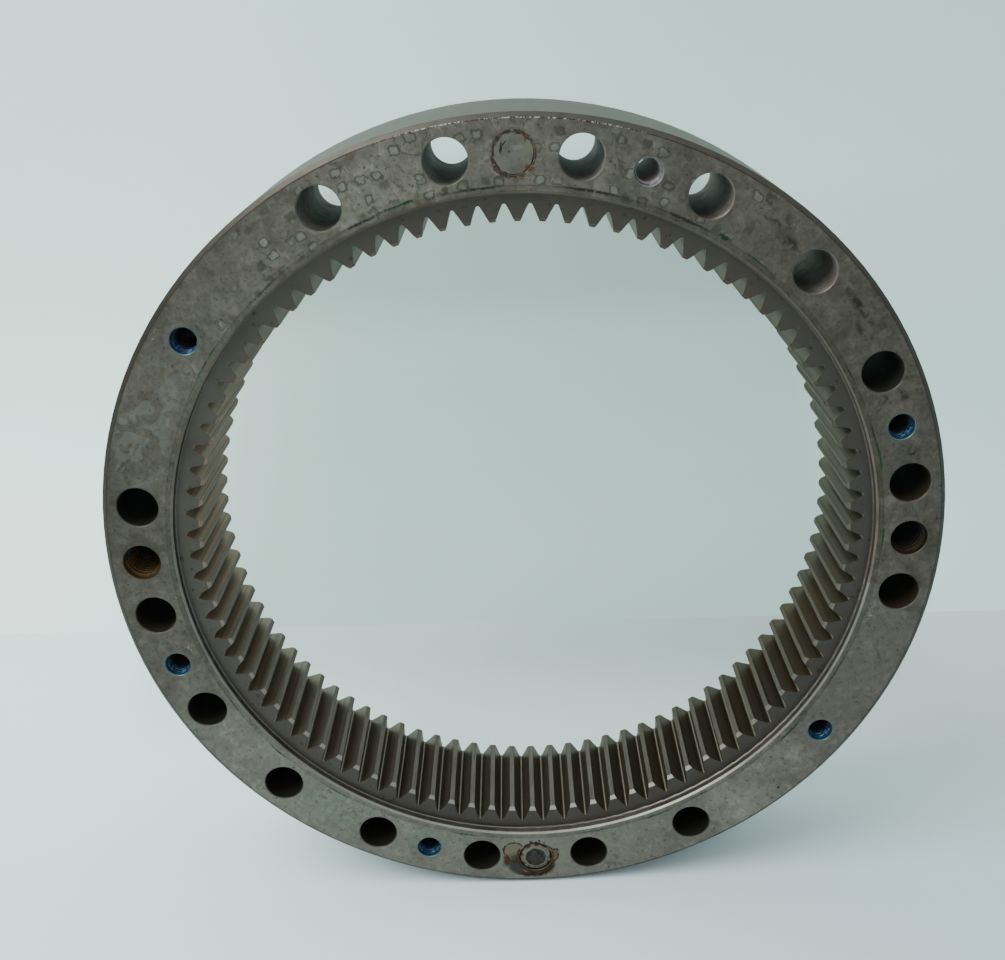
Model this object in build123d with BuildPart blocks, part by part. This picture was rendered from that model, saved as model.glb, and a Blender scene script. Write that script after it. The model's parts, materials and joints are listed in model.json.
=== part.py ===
from build123d import *
from math import acos, cos, pi, radians, sin, tan
import os

# Internal ring gear with two pressed locating pins, standing upright on its rim.
# Millimetres. The gear's axis is Y, the bolting face looks along -Y, +Z is up, and the
# origin is the centre of the ring, half way between its two faces.

# ---- gear teeth: standard involute internal gear ----
MODULE = 4.0
TOOTH_COUNT = 90
PRESSURE_ANGLE = radians(25)
PITCH_RADIUS = MODULE * TOOTH_COUNT / 2
BASE_RADIUS = PITCH_RADIUS * cos(PRESSURE_ANGLE)
TIP_RADIUS = PITCH_RADIUS - MODULE
ROOT_RADIUS = PITCH_RADIUS + 1.25 * MODULE
FLANK_END_RADIUS = 184.36  # where each flank runs into the full-round root
FLANK_POINTS = 6
TIP_CHAMFER = 1.8
TOOTH_PHASE = -0.3  # degrees from the horizontal to the centre of the nearest space

# ---- ring ----
OUTER_RADIUS = 228.0
WIDTH = 76.5
OUTER_CHAMFER = 2.5
REGISTER_RADIUS = 190.5
REGISTER_DEPTH = 5.0
REGISTER_CHAMFER = 1.0
REGISTER_CORNER_RADIUS = 1.0
HALF_WIDTH = WIDTH / 2
TOOTHED_HALF_WIDTH = HALF_WIDTH - REGISTER_DEPTH

# ---- holes, all on one circle; angles run counter-clockwise from +X, seen from the front ----
HOLE_CIRCLE_RADIUS = 209.0
HOLE_PITCH = 18.0
BOLT_HOLE_RADIUS = 11.0
BOLT_HOLE_CHAMFER = 0.5
LEFT_OUT_STEPS = (7, 8, 17, 18)  # places of the 20-hole circle that have no bolt hole
BOLT_ANGLES = [
    HOLE_PITCH * (step + 0.5) for step in range(20) if step not in LEFT_OUT_STEPS
]
SMALL_TAPPED_RADIUS = 7.0
SMALL_TAPPED_ANGLES = (18, 72, 144, 198, 252, 324)
LARGE_TAPPED_RADIUS = 10.0
LARGE_TAPPED_ANGLES = (0, 180)
TAPPED_CHAMFER = 0.4

# ---- locating pins: a flat end, tapered to the pin's side ----
PIN_RADIUS = 10.0
PIN_HOLE_CHAMFER = 0.3
TOP_PIN_ANGLE = 90
TOP_PIN_END_RADIUS = 9.6
TOP_PIN_TAPER_DEPTH = 0.4
BOTTOM_PIN_ANGLE = 270
BOTTOM_PIN_END_RADIUS = 6.4
BOTTOM_PIN_TAPER_DEPTH = 1.2


def half_space_angle(radius):
    """Half the angle that one tooth space takes up at this radius."""
    def involute(angle):
        return tan(angle) - angle

    at_radius = acos(BASE_RADIUS / radius)
    return pi / (2 * TOOTH_COUNT) + involute(PRESSURE_ANGLE) - involute(at_radius)


def flank(side):
    """Points of one flank of a tooth space, from inside the tip circle out to the root."""
    start = TIP_RADIUS - 1
    step = (FLANK_END_RADIUS - start) / (FLANK_POINTS - 1)
    radii = [start + step * i for i in range(FLANK_POINTS)]
    return [
        (r * cos(half_space_angle(r)), side * r * sin(half_space_angle(r))) for r in radii
    ]


def on_hole_circle(angles):
    """The points of the hole circle at these angles, in the plane of the front face."""
    return [
        (HOLE_CIRCLE_RADIUS * cos(radians(a)), HOLE_CIRCLE_RADIUS * sin(radians(a)))
        for a in angles
    ]


def turned(half_section):
    """The solid that this half section, given as (radius, height) points, sweeps about Z."""
    with BuildPart() as solid:
        with BuildSketch(Plane.XZ):
            with BuildLine():
                Polyline(*half_section, close=True)
            make_face()
        revolve(axis=Axis.Z)
    return solid.part


def barrel(end_radius, side_radius, taper_depth):
    """A cylinder as long as the ring is wide, with a cone at each end."""
    return turned(
        [
            (0, -HALF_WIDTH),
            (end_radius, -HALF_WIDTH),
            (side_radius, -HALF_WIDTH + taper_depth),
            (side_radius, HALF_WIDTH - taper_depth),
            (end_radius, HALF_WIDTH),
            (0, HALF_WIDTH),
        ]
    )


def bore_cutter(radius, chamfer_size):
    """What a through hole with chamfered mouths removes."""
    return barrel(radius + chamfer_size, radius, chamfer_size)


# ---- one tooth space, centred on +X ----
with BuildSketch() as tooth_space:
    with BuildLine():
        upper = Spline(*flank(1))
        lower = Spline(*flank(-1))
        ThreePointArc(upper @ 1, (ROOT_RADIUS, 0), lower @ 1)
        Line(upper @ 0, lower @ 0)
    make_face()

bolt_hole = bore_cutter(BOLT_HOLE_RADIUS, BOLT_HOLE_CHAMFER)
small_tapped_hole = bore_cutter(SMALL_TAPPED_RADIUS, TAPPED_CHAMFER)
large_tapped_hole = bore_cutter(LARGE_TAPPED_RADIUS, TAPPED_CHAMFER)
pin_hole = bore_cutter(PIN_RADIUS, PIN_HOLE_CHAMFER)

# ---- ring gear ----
with BuildPart() as ring_gear:
    with BuildSketch(Plane.XY) as ring_section:
        with BuildLine():
            Polyline(
                (OUTER_RADIUS - OUTER_CHAMFER, -HALF_WIDTH),
                (OUTER_RADIUS, -HALF_WIDTH + OUTER_CHAMFER),
                (OUTER_RADIUS, HALF_WIDTH - OUTER_CHAMFER),
                (OUTER_RADIUS - OUTER_CHAMFER, HALF_WIDTH),
                (REGISTER_RADIUS + REGISTER_CHAMFER, HALF_WIDTH),
                (REGISTER_RADIUS, HALF_WIDTH - REGISTER_CHAMFER),
                (REGISTER_RADIUS, TOOTHED_HALF_WIDTH),
                (TIP_RADIUS + TIP_CHAMFER, TOOTHED_HALF_WIDTH),
                (TIP_RADIUS, TOOTHED_HALF_WIDTH - TIP_CHAMFER),
                (TIP_RADIUS, -TOOTHED_HALF_WIDTH + TIP_CHAMFER),
                (TIP_RADIUS + TIP_CHAMFER, -TOOTHED_HALF_WIDTH),
                (REGISTER_RADIUS, -TOOTHED_HALF_WIDTH),
                (REGISTER_RADIUS, -HALF_WIDTH + REGISTER_CHAMFER),
                (REGISTER_RADIUS + REGISTER_CHAMFER, -HALF_WIDTH),
                close=True,
            )
        make_face()
        register_corners = [
            vertex
            for vertex in ring_section.vertices()
            if abs(vertex.X - REGISTER_RADIUS) < 0.01
            and abs(abs(vertex.Y) - TOOTHED_HALF_WIDTH) < 0.01
        ]
        fillet(register_corners, REGISTER_CORNER_RADIUS)
    revolve(axis=Axis.Y)
    with BuildSketch(Plane.XZ):
        with PolarLocations(0, TOOTH_COUNT, start_angle=TOOTH_PHASE):
            add(tooth_space.sketch)
    extrude(amount=HALF_WIDTH, both=True, mode=Mode.SUBTRACT)
    for hole, angles in (
        (bolt_hole, BOLT_ANGLES),
        (small_tapped_hole, SMALL_TAPPED_ANGLES),
        (large_tapped_hole, LARGE_TAPPED_ANGLES),
        (pin_hole, (TOP_PIN_ANGLE, BOTTOM_PIN_ANGLE)),
    ):
        with Locations(Plane.XZ):
            with Locations(*on_hole_circle(angles)):
                add(hole, mode=Mode.SUBTRACT)
ring_gear.part.label = "ring_gear"

# ---- locating pins, pressed in flush with both faces ----
with BuildPart(Plane.XZ) as top_locating_pin:
    with Locations(*on_hole_circle([TOP_PIN_ANGLE])):
        add(barrel(TOP_PIN_END_RADIUS, PIN_RADIUS, TOP_PIN_TAPER_DEPTH))
top_locating_pin.part.label = "top_locating_pin"

with BuildPart(Plane.XZ) as bottom_locating_pin:
    with Locations(*on_hole_circle([BOTTOM_PIN_ANGLE])):
        add(barrel(BOTTOM_PIN_END_RADIUS, PIN_RADIUS, BOTTOM_PIN_TAPER_DEPTH))
bottom_locating_pin.part.label = "bottom_locating_pin"

os.makedirs("parts", exist_ok=True)
export_step(ring_gear.part, "parts/ring_gear.step")
export_step(top_locating_pin.part, "parts/top_locating_pin.step")
export_step(bottom_locating_pin.part, "parts/bottom_locating_pin.step")
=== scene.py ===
import json
from math import cos, pi, radians, sin

import bpy
from mathutils import Matrix, Vector


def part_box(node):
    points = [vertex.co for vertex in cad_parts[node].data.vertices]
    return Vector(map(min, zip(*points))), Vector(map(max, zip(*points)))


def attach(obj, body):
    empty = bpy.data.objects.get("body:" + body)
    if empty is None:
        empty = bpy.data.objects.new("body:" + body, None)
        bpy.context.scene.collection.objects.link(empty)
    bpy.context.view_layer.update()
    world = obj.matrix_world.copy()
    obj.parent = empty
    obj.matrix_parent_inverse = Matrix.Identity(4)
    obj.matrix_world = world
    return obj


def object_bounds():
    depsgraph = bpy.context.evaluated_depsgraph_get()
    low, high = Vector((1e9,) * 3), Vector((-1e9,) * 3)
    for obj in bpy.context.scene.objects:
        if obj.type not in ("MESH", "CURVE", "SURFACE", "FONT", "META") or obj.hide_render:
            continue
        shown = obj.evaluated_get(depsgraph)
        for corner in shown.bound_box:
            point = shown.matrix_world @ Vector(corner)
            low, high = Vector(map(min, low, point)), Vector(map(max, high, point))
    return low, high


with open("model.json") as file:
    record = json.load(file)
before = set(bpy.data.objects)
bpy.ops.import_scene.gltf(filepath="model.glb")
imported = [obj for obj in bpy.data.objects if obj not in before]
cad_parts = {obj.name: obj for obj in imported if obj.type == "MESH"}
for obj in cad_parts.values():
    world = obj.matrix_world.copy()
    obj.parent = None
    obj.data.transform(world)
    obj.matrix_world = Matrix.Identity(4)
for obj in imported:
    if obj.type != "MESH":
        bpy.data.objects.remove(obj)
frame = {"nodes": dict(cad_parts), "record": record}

CAD_LOW, CAD_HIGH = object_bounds()

# ---- sizes read from the frame ----
FRONT_Y = CAD_LOW.y
REAR_Y = CAD_HIGH.y
FLOOR_Z = CAD_LOW.z
WIDTH_MM = (REAR_Y - FRONT_Y) * 1000
OUTER_MM = (CAD_HIGH.x - CAD_LOW.x) * 500
PIN_LOW, PIN_HIGH = (Vector(corner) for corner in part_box("top_locating_pin"))
HOLE_CIRCLE = (PIN_LOW.z + PIN_HIGH.z) / 2  # its radius, in metres
HOLE_CIRCLE_MM = HOLE_CIRCLE * 1000
PIN_MM = (PIN_HIGH.x - PIN_LOW.x) * 500
MOUNTS = {mount["name"]: mount for mount in frame["record"]["mounts"]}
REGISTER_MM = MOUNTS["front_register"]["dims"]["r_mm"]
SMALL_TAPPED_MM = MOUNTS["small_tapped_holes_right"]["dims"]["hole_r_mm"]
LARGE_TAPPED_MM = MOUNTS["large_tapped_holes"]["dims"]["hole_r_mm"]

# ---- sizes and angles that the frame doesn't state ----
OUTER_CHAMFER_MM = 2.5
REGISTER_DEPTH_MM = 5.0
TOOTH_TIP_MM = 176.0
TOOTH_PITCH_MM = 180.0
TOOTH_ROOT_MM = 185.0
TIP_CHAMFER_MM = 1.8
MID_TOOTH_MM = 182
MID_FACE_MM = 209
TOP_PIN_ANGLE = 90
BOTTOM_PIN_ANGLE = 270
LIT_TAPPED_ANGLE = 72  # light falls through this tapped hole
BLUE_TAPPED_ANGLES = (18, 144, 198, 252, 324)
SMALL_TAPPED_ANGLES = (18, LIT_TAPPED_ANGLE, 144, 198, 252, 324)
RIGHT_TAPPED_ANGLE = 0
LEFT_TAPPED_ANGLE = 180
SMALL_PITCH_MM = 2.0
LARGE_PITCH_MM = 2.5

# ---- camera: place in hole-circle radii from the centre of the front face, aim, and lens ----
CAMERA_PLACE = Vector((-0.0432, -2.7889, 1.3420))
CAMERA_AIM = Vector((0.0135, 0.9182, -0.3958))
CAMERA_LENS_MM = 42.53
CAMERA_SENSOR_MM = 36
CAMERA_SHIFT = (-0.0225, 0.0210)
CAMERA_CLIP = (0.01, 50)
RING_ROLL = 1.645  # degrees by which the ring is rolled, counter-clockwise, where it stands


def link(thing):
    bpy.context.scene.collection.objects.link(thing)
    return thing


def mesh_object(name, points, faces, smooth=False):
    mesh = bpy.data.meshes.new(name)
    mesh.from_pydata(points, [], faces)
    mesh.polygons.foreach_set("use_smooth", [smooth] * len(faces))
    mesh.update()
    return link(bpy.data.objects.new(name, mesh))


METAL_GLOSS = 0.6  # specular level where a painted finish is fully metallic
SEAM_ANGLE = -8  # a finish's angles run once round from here, where few marks lie


class Finish:
    """A material's node tree, with short calls for the nodes that the finishes use.

    x, y, z, radius and depth are in mm and angle in degrees. Depth is from the front face back.
    A mask runs from 0 to 1. The finish's colour, roughness and metallic value start constant
    and become sockets as it is painted. Noise scales are per mm.
    """

    def __init__(self, name, colour, roughness, metallic=0.0):
        self.material = bpy.data.materials.new(name)
        self.material.use_nodes = True
        self.tree = self.material.node_tree
        self.shader = self.tree.nodes["Principled BSDF"]
        self.colour = colour
        self.roughness = roughness
        self.metallic = metallic
        self.height = 0.0
        place = self.tree.nodes.new("ShaderNodeTexCoord").outputs["Object"]
        self.point = self.vector("MULTIPLY", place, (1000, 1000, 1000))
        self.x, self.y, self.z = self.split(self.point)
        self.depth = self.math("ADD", self.y, WIDTH_MM / 2)
        flat = self.combined(self.x, 0, self.z)
        self.radius = self.vector("LENGTH", flat)
        turn = self.math("MULTIPLY", self.math("ARCTAN2", self.z, self.x), 180 / pi)
        self.angle = self.math("WRAP", turn, SEAM_ANGLE + 360, SEAM_ANGLE)
        self.face = flat
        self.polar = self.combined(self.angle, 0, self.radius)

    def node(self, kind, output, values, **settings):
        node = self.tree.nodes.new(kind)
        for name, setting in settings.items():
            setattr(node, name, setting)
        for socket, value in zip([s for s in node.inputs if s.enabled], values):
            if isinstance(value, bpy.types.NodeSocket):
                self.tree.links.new(value, socket)
            else:
                socket.default_value = value
        return node.outputs[output]

    def math(self, operation, *values):
        return self.node("ShaderNodeMath", 0, values, operation=operation)

    def combined(self, x, y, z):
        return self.node("ShaderNodeCombineXYZ", 0, (x, y, z))

    def split(self, vector):
        node = self.tree.nodes.new("ShaderNodeSeparateXYZ")
        self.tree.links.new(vector, node.inputs[0])
        return node.outputs

    def fade(self, value, start, end, low=0.0, high=1.0):
        """Runs smoothly from low at start to high at end, and stays there."""
        kind = {"interpolation_type": "SMOOTHSTEP"}
        return self.node("ShaderNodeMapRange", 0, (value, start, end, low, high), **kind)

    def band(self, value, centre, reach, softness):
        """1 where value is within reach of centre."""
        off = self.math("ABSOLUTE", self.math("SUBTRACT", value, centre))
        return self.fade(off, reach + softness, reach - softness)

    def from_nearer_face(self):
        """The depth in mm behind the front or the rear face, whichever is nearer."""
        return self.math("MINIMUM", self.depth, self.math("SUBTRACT", WIDTH_MM, self.depth))

    def noise(self, scale, detail=3.0, where=None, seed=0.0, distortion=0.0):
        """Noise of about 0 to 1, whose features are about 1/scale mm across."""
        node = self.tree.nodes.new("ShaderNodeTexNoise")
        node.noise_dimensions = "4D"
        self.tree.links.new(where or self.point, node.inputs["Vector"])
        node.inputs["W"].default_value = seed
        node.inputs["Scale"].default_value = scale
        node.inputs["Detail"].default_value = detail
        node.inputs["Distortion"].default_value = distortion
        return node.outputs["Fac"]

    def warped(self, where, scale, reach, seed=0.0):
        """The same point, pushed about by noise, so that outlines come out irregular."""
        pushes = []
        for axis in range(3):
            centred = self.math("SUBTRACT", self.noise(scale, seed=seed + axis), 0.5)
            pushes.append(self.math("MULTIPLY", centred, reach[axis]))
        return self.vector("ADD", where, self.combined(*pushes))

    def vector(self, operation, *values):
        output = "Value" if operation in ("LENGTH", "DOT_PRODUCT") else 0
        return self.node("ShaderNodeVectorMath", output, values, operation=operation)

    def distance(self, where, place, reach, turn=0.0):
        """0 at the place, and 1 on the ellipse of this reach about it, turned by turn degrees."""
        away = self.vector("SUBTRACT", where, (place[0], 0, place[1]))
        if not turn:
            return self.vector("LENGTH", self.vector("MULTIPLY", away, (1 / reach[0], 0, 1 / reach[1])))
        across, up = cos(radians(turn)), sin(radians(turn))
        along = self.vector("DOT_PRODUCT", away, (across / reach[0], 0, up / reach[0]))
        beside = self.vector("DOT_PRODUCT", away, (-up / reach[1], 0, across / reach[1]))
        return self.vector("LENGTH", self.combined(along, 0, beside))

    def spot(self, where, place, reach, softness=0.3, turn=0.0):
        """1 inside the ellipse of this reach about the place."""
        away = self.distance(where, place, reach, turn)
        return self.fade(away, 1 + softness, 1 - softness)

    def outline(self, where, place, reach, width, turn=0.0):
        """1 on the ellipse's own line, whose width is in parts of its reach."""
        return self.band(self.distance(where, place, reach, turn), 1, width, width * 0.6)

    def both(self, *masks):
        """Where all of these masks are. A plain number weakens the result."""
        result = masks[0]
        for mask in masks[1:]:
            result = self.math("MULTIPLY", result, mask)
        return result

    def either(self, *masks):
        result = masks[0]
        for mask in masks[1:]:
            result = self.math("MAXIMUM", result, mask)
        return result

    def blend(self, below, above, mask, kind="MIX"):
        node = self.tree.nodes.new("ShaderNodeMix")
        node.data_type = "RGBA"
        node.blend_type = kind
        factor, first, second = node.inputs[0], node.inputs[6], node.inputs[7]
        for socket, value in ((factor, mask), (first, below), (second, above)):
            if isinstance(value, bpy.types.NodeSocket):
                self.tree.links.new(value, socket)
            elif isinstance(value, float):
                socket.default_value = value
            else:
                socket.default_value = (*value, 1)
        return node.outputs[2]

    def paint(self, colour, mask, roughness=None, metallic=None):
        """Covers what is below with this colour, and its roughness and metallic value if given."""
        self.colour = self.blend(self.colour, colour, mask)
        if roughness is not None:
            self.roughness = self.mixed(self.roughness, roughness, mask)
        if metallic is not None:
            self.metallic = self.mixed(self.metallic, metallic, mask)

    def tint(self, colour, mask):
        """Multiplies the colour by this one, which may be above 1."""
        self.colour = self.blend(self.colour, colour, mask, "MULTIPLY")

    def mixed(self, below, above, mask):
        return self.node("ShaderNodeMapRange", 0, (mask, 0, 1, below, above))

    def raise_by(self, height_mm, mask):
        self.height = self.math("ADD", self.height, self.math("MULTIPLY", mask, height_mm))

    def done(self):
        """Joins everything to the shader. Where metallic varies, what isn't metallic is matt."""
        sockets = {"Base Color": self.colour, "Roughness": self.roughness, "Metallic": self.metallic}
        for name, value in sockets.items():
            if isinstance(value, bpy.types.NodeSocket):
                self.tree.links.new(value, self.shader.inputs[name])
            elif name == "Base Color":
                self.shader.inputs[name].default_value = (*value, 1)
            else:
                self.shader.inputs[name].default_value = value
        if isinstance(self.metallic, bpy.types.NodeSocket):
            gloss = self.math("MULTIPLY", self.metallic, METAL_GLOSS)
            self.tree.links.new(gloss, self.shader.inputs["Specular IOR Level"])
        if isinstance(self.height, bpy.types.NodeSocket):
            bump = self.tree.nodes.new("ShaderNodeBump")
            bump.inputs["Distance"].default_value = 1 / 1000  # heights are in mm
            self.tree.links.new(self.height, bump.inputs["Height"])
            self.tree.links.new(bump.outputs[0], self.shader.inputs["Normal"])
        return self.material


# ---- colours shared by several finishes ----
STEEL_DARK = (0.093, 0.085, 0.074)
STEEL_LIGHT = (0.180, 0.165, 0.146)
BARREL_STEEL = (0.153, 0.125, 0.113)
# painted highlight for the register's chamfer
HIGHLIT_EDGE = (0.25, 0.25, 0.235)
# dirt, and painted shade in the register's crease
GRIME_AND_SHADE = (0.035, 0.034, 0.030)
RUST_LINE = (0.032, 0.017, 0.008)
ORANGE_RUST = (0.070, 0.033, 0.013)
DEEP_WALL = (0.29, 0.235, 0.215)  # painted light on the lit tapped hole's wall, and on the deep part of its threads
ROOM_DIM = (0.91, 0.865, 0.85)  # brings all the steel down to the photo's exposure

# ---- marks on the front face: (angle, radius) and their reach (degrees, mm) ----
GREENISH = [((228, 209), (26, 30)), ((288, 209), (26, 30)), ((256, 209), (22, 30))]
TINGED = [((234, 208), (6, 11)), ((251, 203), (4, 7)), ((262, 214), (4, 5))]
STAINED = [
    ((104, 220), (15, 7)), ((110, 207), (10, 13)), ((94, 196), (12, 5)), ((123, 209), (7, 18)),
    ((131, 198), (9, 6)), ((78, 219), (10, 7)), ((68, 207), (9, 15)), ((70, 196), (13, 4)),
    ((86, 212), (3, 10)), ((56, 217), (4, 8)),
]
SCUFFS = [
    ((13.2, 212), (1.4, 3.0)), ((22.2, 213), (1.0, 2.6)), ((22.8, 205), (1.0, 2.4)),
    ((37.0, 215), (3.2, 1.8)), ((34.4, 209), (1.2, 1.4)), ((51.0, 211), (1.7, 2.2)),
    ((54.0, 214), (1.2, 1.4)),
]
CHALK = [
    ((144.6, 223), (0.5, 0.8)), ((146.0, 222), (0.3, 0.9)), ((149.0, 223), (0.4, 0.8)),
    ((347, 197), (2.0, 1.4)), ((196, 199), (1.2, 1.5)),
]
SEALANT_DASHES = [
    ((0.3, 194.6), (2.0, 0.45)), ((14.6, 194.7), (2.6, 0.55)), ((52.4, 194.4), (1.9, 0.45)),
    ((58.4, 194.9), (1.1, 1.2)), ((107.5, 194.6), (3.2, 0.4)), ((105.2, 194.9), (0.9, 0.8)),
    ((145.0, 194.4), (3.2, 0.4)), ((292.5, 194.6), (2.8, 0.4)), ((320.6, 194.9), (3.0, 0.5)),
    ((220.0, 194.6), (1.8, 0.4)), ((233.5, 194.6), (2.6, 0.35)), ((257.5, 194.8), (2.2, 0.4)),
]
DARK_DASHES = [
    ((18.0, 194.0), (2.0, 0.35)), ((29.5, 193.8), (1.6, 0.3)), ((64.5, 193.8), (3.2, 0.7)),
    ((79.0, 194.0), (4.2, 0.7)), ((95.5, 193.8), (3.0, 0.6)), ((113.0, 193.8), (2.6, 0.6)),
    ((131.0, 193.6), (3.0, 0.25)), ((281.0, 193.8), (2.6, 0.3)), ((301.0, 193.6), (1.6, 0.3)),
    ((335.0, 193.8), (4.0, 0.25)), ((208.0, 193.8), (2.4, 0.25)),
]

# ---- marks round the pins: (across, up) from the pin's centre and their reach, all in mm ----
BEIGE_PATCH = ((-13.2, 4.2), (6.4, 7.4))
BEAK_PATCH = ((10.8, 1.2), (3.4, 4.8))
BLACK_DOTS = [((-2.3, 12.0), (0.8, 0.7)), ((2.3, 12.3), (0.9, 0.8)), ((5.8, 11.4), (0.7, 1.0))]
ORANGE_ROUND_TOP_PIN = [
    ((6.9, 8.0), (1.2, 0.9)), ((7.4, -7.4), (2.0, 1.4)), ((4.2, -10.4), (1.8, 0.7)),
    ((3.2, -11.8), (1.2, 0.5)),
]
ORANGE_ON_TOP_PIN = [((5.8, 7.0), (0.9, 1.5)), ((6.5, -6.4), (1.5, 1.7))]


def marks(finish, where, places, softness=0.35):
    """One mask for a list of spots."""
    return finish.either(*[finish.spot(where, place, reach, softness) for place, reach in places])


def about_pin(finish, angle):
    """The face's own point, in mm about a pin's centre: across, and up."""
    across, up = HOLE_CIRCLE_MM * cos(radians(angle)), HOLE_CIRCLE_MM * sin(radians(angle))
    return finish.vector("SUBTRACT", finish.face, (across, 0, up))


def water_stains(finish, region):
    """Small dried outlines, like drops that have shrunk, in loose rows over a region of the face."""
    spacing_mm, row_mm = 9.5, 8.4
    dried, outline = (0.200, 0.208, 0.178), (0.052, 0.050, 0.040)
    along = finish.math("MULTIPLY", finish.angle, radians(1) * HOLE_CIRCLE_MM / spacing_mm)
    rows = finish.combined(along, 0, finish.math("DIVIDE", finish.radius, row_mm))
    where = finish.warped(rows, 0.28, (0.55, 0, 0.55), seed=3)
    cells = finish.tree.nodes.new("ShaderNodeTexVoronoi")
    cells.feature = "F1"
    cells.distance = "MINKOWSKI"
    finish.tree.links.new(where, cells.inputs["Vector"])
    for name, value in (("Scale", 1.0), ("Exponent", 3.5), ("Randomness", 0.55)):
        cells.inputs[name].default_value = value
    from_centre = cells.outputs["Distance"]
    parts = finish.tree.nodes.new("ShaderNodeSeparateColor")
    finish.tree.links.new(cells.outputs["Color"], parts.inputs[0])
    chosen = finish.fade(parts.outputs[0], 0.10, 0.18)
    size = finish.fade(parts.outputs[1], 0, 1, 0.24, 0.36)
    off = finish.math("SUBTRACT", from_centre, size)
    broken = finish.fade(finish.noise(0.30, seed=9), 0.30, 0.46)
    ring = finish.fade(finish.math("ABSOLUTE", off), 0.075, 0.01)
    inside = finish.fade(off, 0.02, -0.10)
    filled = finish.fade(finish.noise(0.08, seed=4), 0.40, 0.55)
    finish.paint(dried, finish.both(inside, chosen, region, filled, 0.8), 0.6)
    finish.paint(outline, finish.both(ring, chosen, region, broken, 0.75), 0.6)


def shade_face(finish, on_face, polar):
    """Broad differences round the face: greenish below, painted shade at both sides, lighter at the top
    middle, painted light at the lower right, and paler patches.
    """
    bloom, tinge = (0.208, 0.202, 0.172), (0.155, 0.188, 0.148)
    matt, cloud = (0.146, 0.128, 0.111), (0.150, 0.143, 0.130)
    right_shade, left_shade = (0.77, 0.75, 0.71), (0.66, 0.645, 0.62)
    paler_top_tint, lower_right_light_tint = (1.30, 1.32, 1.27), (1.35, 1.32, 1.28)

    green = marks(finish, polar, GREENISH, 0.4)
    mottled = finish.fade(finish.noise(0.045, seed=6), 0.30, 0.65, 0.35, 1.0)
    finish.paint(bloom, finish.both(green, on_face, mottled, 0.75), 0.52)
    tinged = marks(finish, polar, TINGED, 0.6)
    finish.paint(tinge, finish.both(tinged, on_face, 0.5))

    # painted shade at the right and the left of the face
    right = finish.spot(polar, (8, MID_FACE_MM), (50, 60), 0.35)
    finish.tint(right_shade, finish.both(right, on_face))
    left = finish.spot(polar, (178, MID_FACE_MM), (30, 60), 0.4)
    finish.tint(left_shade, finish.both(left, on_face))
    # lighter at the top middle of the face
    paler_top = finish.spot(polar, (107, 205), (12, 15), 0.5)
    finish.tint(paler_top_tint, finish.both(paler_top, on_face))
    # painted light: the lower right of the face, where it reflects the bright floor in front
    lower_right_light = finish.spot(polar, (309, MID_FACE_MM), (11, 30), 0.4)
    finish.tint(lower_right_light_tint, finish.both(lower_right_light, on_face))
    patch = finish.spot(polar, (334, 208), (14.5, 17), 0.06)
    finish.paint(matt, finish.both(patch, on_face, 0.8), 0.48)
    clouds = finish.fade(finish.noise(0.07, 1.0, seed=7, distortion=1.5), 0.49, 0.53)
    cloudy = finish.spot(polar, (158, 210), (11, 15), 0.35)
    finish.paint(cloud, finish.both(clouds, cloudy, on_face, 0.55), 0.5)


def wear_face(finish, on_face, polar):
    """Scuffs, hairlines, specks and mottling."""
    scuff, hairline, warm_fleck = (0.016, 0.016, 0.013), (0.045, 0.042, 0.034), (0.100, 0.070, 0.042)
    mottle_tint, pale_tint = (0.89, 0.88, 0.86), (1.20, 1.19, 1.18)
    nick, nick_reach = (312, 219), (0.22, 0.9)

    rubbed = finish.fade(finish.noise(0.25, 6.0, seed=28, distortion=0.8), 0.36, 0.60)
    finish.paint(scuff, finish.both(marks(finish, polar, SCUFFS, 0.7), on_face, rubbed, 0.9), 0.5)
    contour = finish.band(finish.noise(0.035, 3.0, seed=19, distortion=0.6), 0.5, 0.006, 0.005)
    here_and_there = finish.fade(finish.noise(0.05, 2.0, seed=20), 0.50, 0.62)
    finish.paint(hairline, finish.both(contour, here_and_there, on_face, 0.55))
    specks = finish.fade(finish.noise(0.55, 2.0, seed=12), 0.64, 0.70)
    finish.paint(GRIME_AND_SHADE, finish.both(specks, on_face, 0.65), 0.6)
    mottling = finish.fade(finish.noise(0.24, 6.0, seed=25, distortion=0.6), 0.42, 0.60)
    finish.tint(mottle_tint, finish.both(mottling, on_face))
    paler = finish.fade(finish.noise(0.17, 6.0, seed=26, distortion=1.0), 0.50, 0.64)
    finish.tint(pale_tint, finish.both(paler, on_face))
    warm = finish.fade(finish.noise(0.32, 3.0, seed=27), 0.60, 0.68)
    finish.paint(warm_fleck, finish.both(warm, on_face, 0.45), 0.6)
    finish.paint(GRIME_AND_SHADE, finish.both(finish.spot(finish.polar, nick, nick_reach), on_face))


def soil_face(finish, on_face, fine):
    """Chalky dust, and what old seals left along the inner edge: grime, black and green dashes."""
    chalk_dust, black_sealant = (0.34, 0.35, 0.33), (0.018, 0.018, 0.015)
    green_sealant = (0.008, 0.048, 0.015)
    edge_tint = (0.82, 0.82, 0.80)
    seal_line_mm = 194.2

    chalk = marks(finish, fine, CHALK, 0.5)
    dusty = finish.fade(finish.noise(0.9, seed=5), 0.50, 0.66)
    finish.paint(chalk_dust, finish.both(chalk, on_face, dusty, 0.6))
    on_line = finish.band(finish.radius, seal_line_mm, 0.35, 0.3)
    old_edge = finish.both(on_line, finish.noise(0.2, seed=11))
    finish.paint(GRIME_AND_SHADE, finish.both(old_edge, on_face, 0.7), 0.5)
    finish.tint(edge_tint, finish.both(finish.fade(finish.radius, 194.4, 193.8), on_face))
    gaps = finish.fade(finish.noise(0.5, seed=13), 0.36, 0.46)
    black = marks(finish, fine, DARK_DASHES, 0.6)
    finish.paint(black_sealant, finish.both(black, on_face, gaps), 0.45)
    finish.paint(green_sealant, finish.both(marks(finish, fine, SEALANT_DASHES), on_face, gaps), 0.4)


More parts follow.
